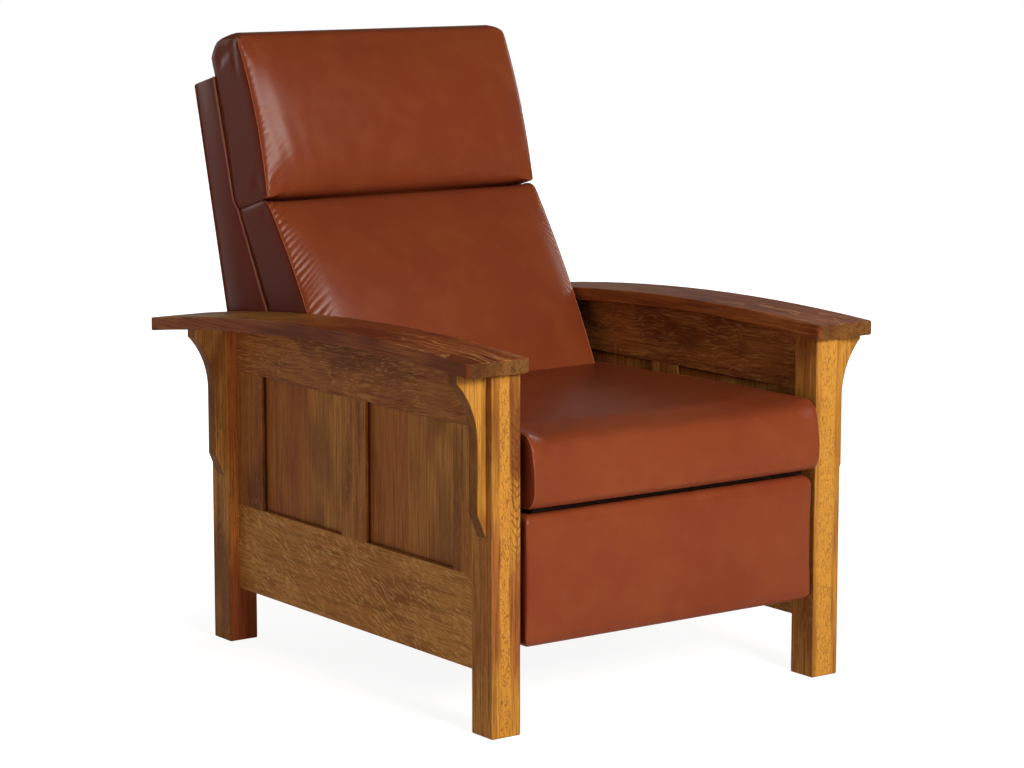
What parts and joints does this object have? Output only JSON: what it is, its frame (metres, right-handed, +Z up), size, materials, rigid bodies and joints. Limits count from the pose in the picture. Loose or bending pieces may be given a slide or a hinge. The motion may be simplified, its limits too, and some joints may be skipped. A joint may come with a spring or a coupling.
{
  "type": "reclining armchair",
  "caption": "Push-back reclining armchair in the mission style: panelled oak sides with bowed arms and corbels, leather seat, two-cushion back and swing-out footrest.",
  "frame": {"origin": "on the floor under the middle of the chair's overall box", "axes": "+Z up; the chair faces -Y; +X is to the right seen from the front"},
  "size_m": [0.854, 1.0715, 1.1],
  "materials": {
    "oak_upright": "satin varnish",
    "oak_rail": "satin varnish",
    "oak_panel": "satin varnish",
    "frame_wood": "raw plywood and softwood",
    "leather": "satin",
    "webbing": "matte",
    "black_steel": "semi-gloss black",
    "zinc_steel": "zinc plated"
  },
  "bodies": {
    "frame": {"front_leg_left": "oak_upright", "rear_leg_left": "oak_upright", "front_stile_left": "oak_upright", "mullion_left": "oak_upright", "rear_stile_left": "oak_upright", "bottom_rail_left": "oak_rail", "top_rail_left": "oak_rail", "arm_left": "oak_rail", "front_panel_left": "oak_panel", "rear_panel_left": "oak_panel", "front_corbel_left": "oak_upright", "rear_corbel_left": "oak_upright", "front_leg_right": "oak_upright", "rear_leg_right": "oak_upright", "front_stile_right": "oak_upright", "mullion_right": "oak_upright", "rear_stile_right": "oak_upright", "bottom_rail_right": "oak_rail", "top_rail_right": "oak_rail", "arm_right": "oak_rail", "front_panel_right": "oak_panel", "rear_panel_right": "oak_panel", "front_corbel_right": "oak_upright", "rear_corbel_right": "oak_upright", "centre_stretcher": "oak_rail", "rear_cross_rail": "oak_rail", "slide_channels": "black_steel", "channel_screws": "zinc_steel"},
    "seat": {"seat_rail_left": "frame_wood", "seat_rail_right": "frame_wood", "slide_bars": "black_steel", "seat_brackets": "black_steel", "seat_hinge_plates": "black_steel", "footrest_pivot_plates": "black_steel", "seat_front_rail": "frame_wood", "seat_rear_rail": "frame_wood", "seat_deck": "frame_wood", "seat_cushion": "leather", "back_hinge_pins": "zinc_steel", "footrest_pivot_pins": "zinc_steel"},
    "back": {"back_board_left": "frame_wood", "back_board_right": "frame_wood", "back_shell": "leather", "lumbar_cushion": "leather", "head_pillow": "leather", "back_top_rail": "frame_wood", "back_bottom_rail": "frame_wood", "back_webbing": "webbing", "back_hinge_plates": "black_steel"},
    "footrest_arms": {"footrest_arm_left": "black_steel", "footrest_arm_right": "black_steel", "footrest_cross_tube": "black_steel", "knee_pins": "zinc_steel"},
    "forelinks": {"footrest_forelink_left": "black_steel", "footrest_forelink_right": "black_steel", "footboard_pins": "zinc_steel"},
    "footboard": {"footrest_board": "frame_wood", "footrest_ears": "black_steel", "footrest_pad": "leather"}
  },
  "joints": [
    {"name": "back_recline", "type": "hinge", "parent": "seat", "child": "back", "pos_m": [0, 0.148, 0.405], "axis": [-1, 0, 0], "range_deg": [0, 32], "stiffness_Nm_per_rad": 72, "springref_deg": -36.1},
    {"name": "seat_glide", "type": "slide", "parent": "frame", "child": "seat", "axis": [0, -1, 0], "range_m": [0, 0.0602]},
    {"name": "footrest_swing", "type": "hinge", "parent": "seat", "child": "footrest_arms", "pos_m": [0, -0.397, 0.3], "axis": [-1, 0, 0], "range_deg": [0, 126.4]},
    {"name": "forelink_fold", "type": "hinge", "parent": "footrest_arms", "child": "forelinks", "pos_m": [0, -0.197, 0.19], "axis": [1, 0, 0], "range_deg": [0, 87.4]},
    {"name": "footboard_tilt", "type": "hinge", "parent": "forelinks", "child": "footboard", "pos_m": [0, -0.4267, 0.23], "axis": [-1, 0, 0], "range_deg": [0, 51]}
  ],
  "couplings": [
    {"joint": "seat_glide", "follows": "back_recline", "m_per_rad": 0.10743},
    {"joint": "forelink_fold", "follows": "footrest_swing", "ratio": 0.69066},
    {"joint": "footboard_tilt", "follows": "footrest_swing", "ratio": 0.40269}
  ]
}
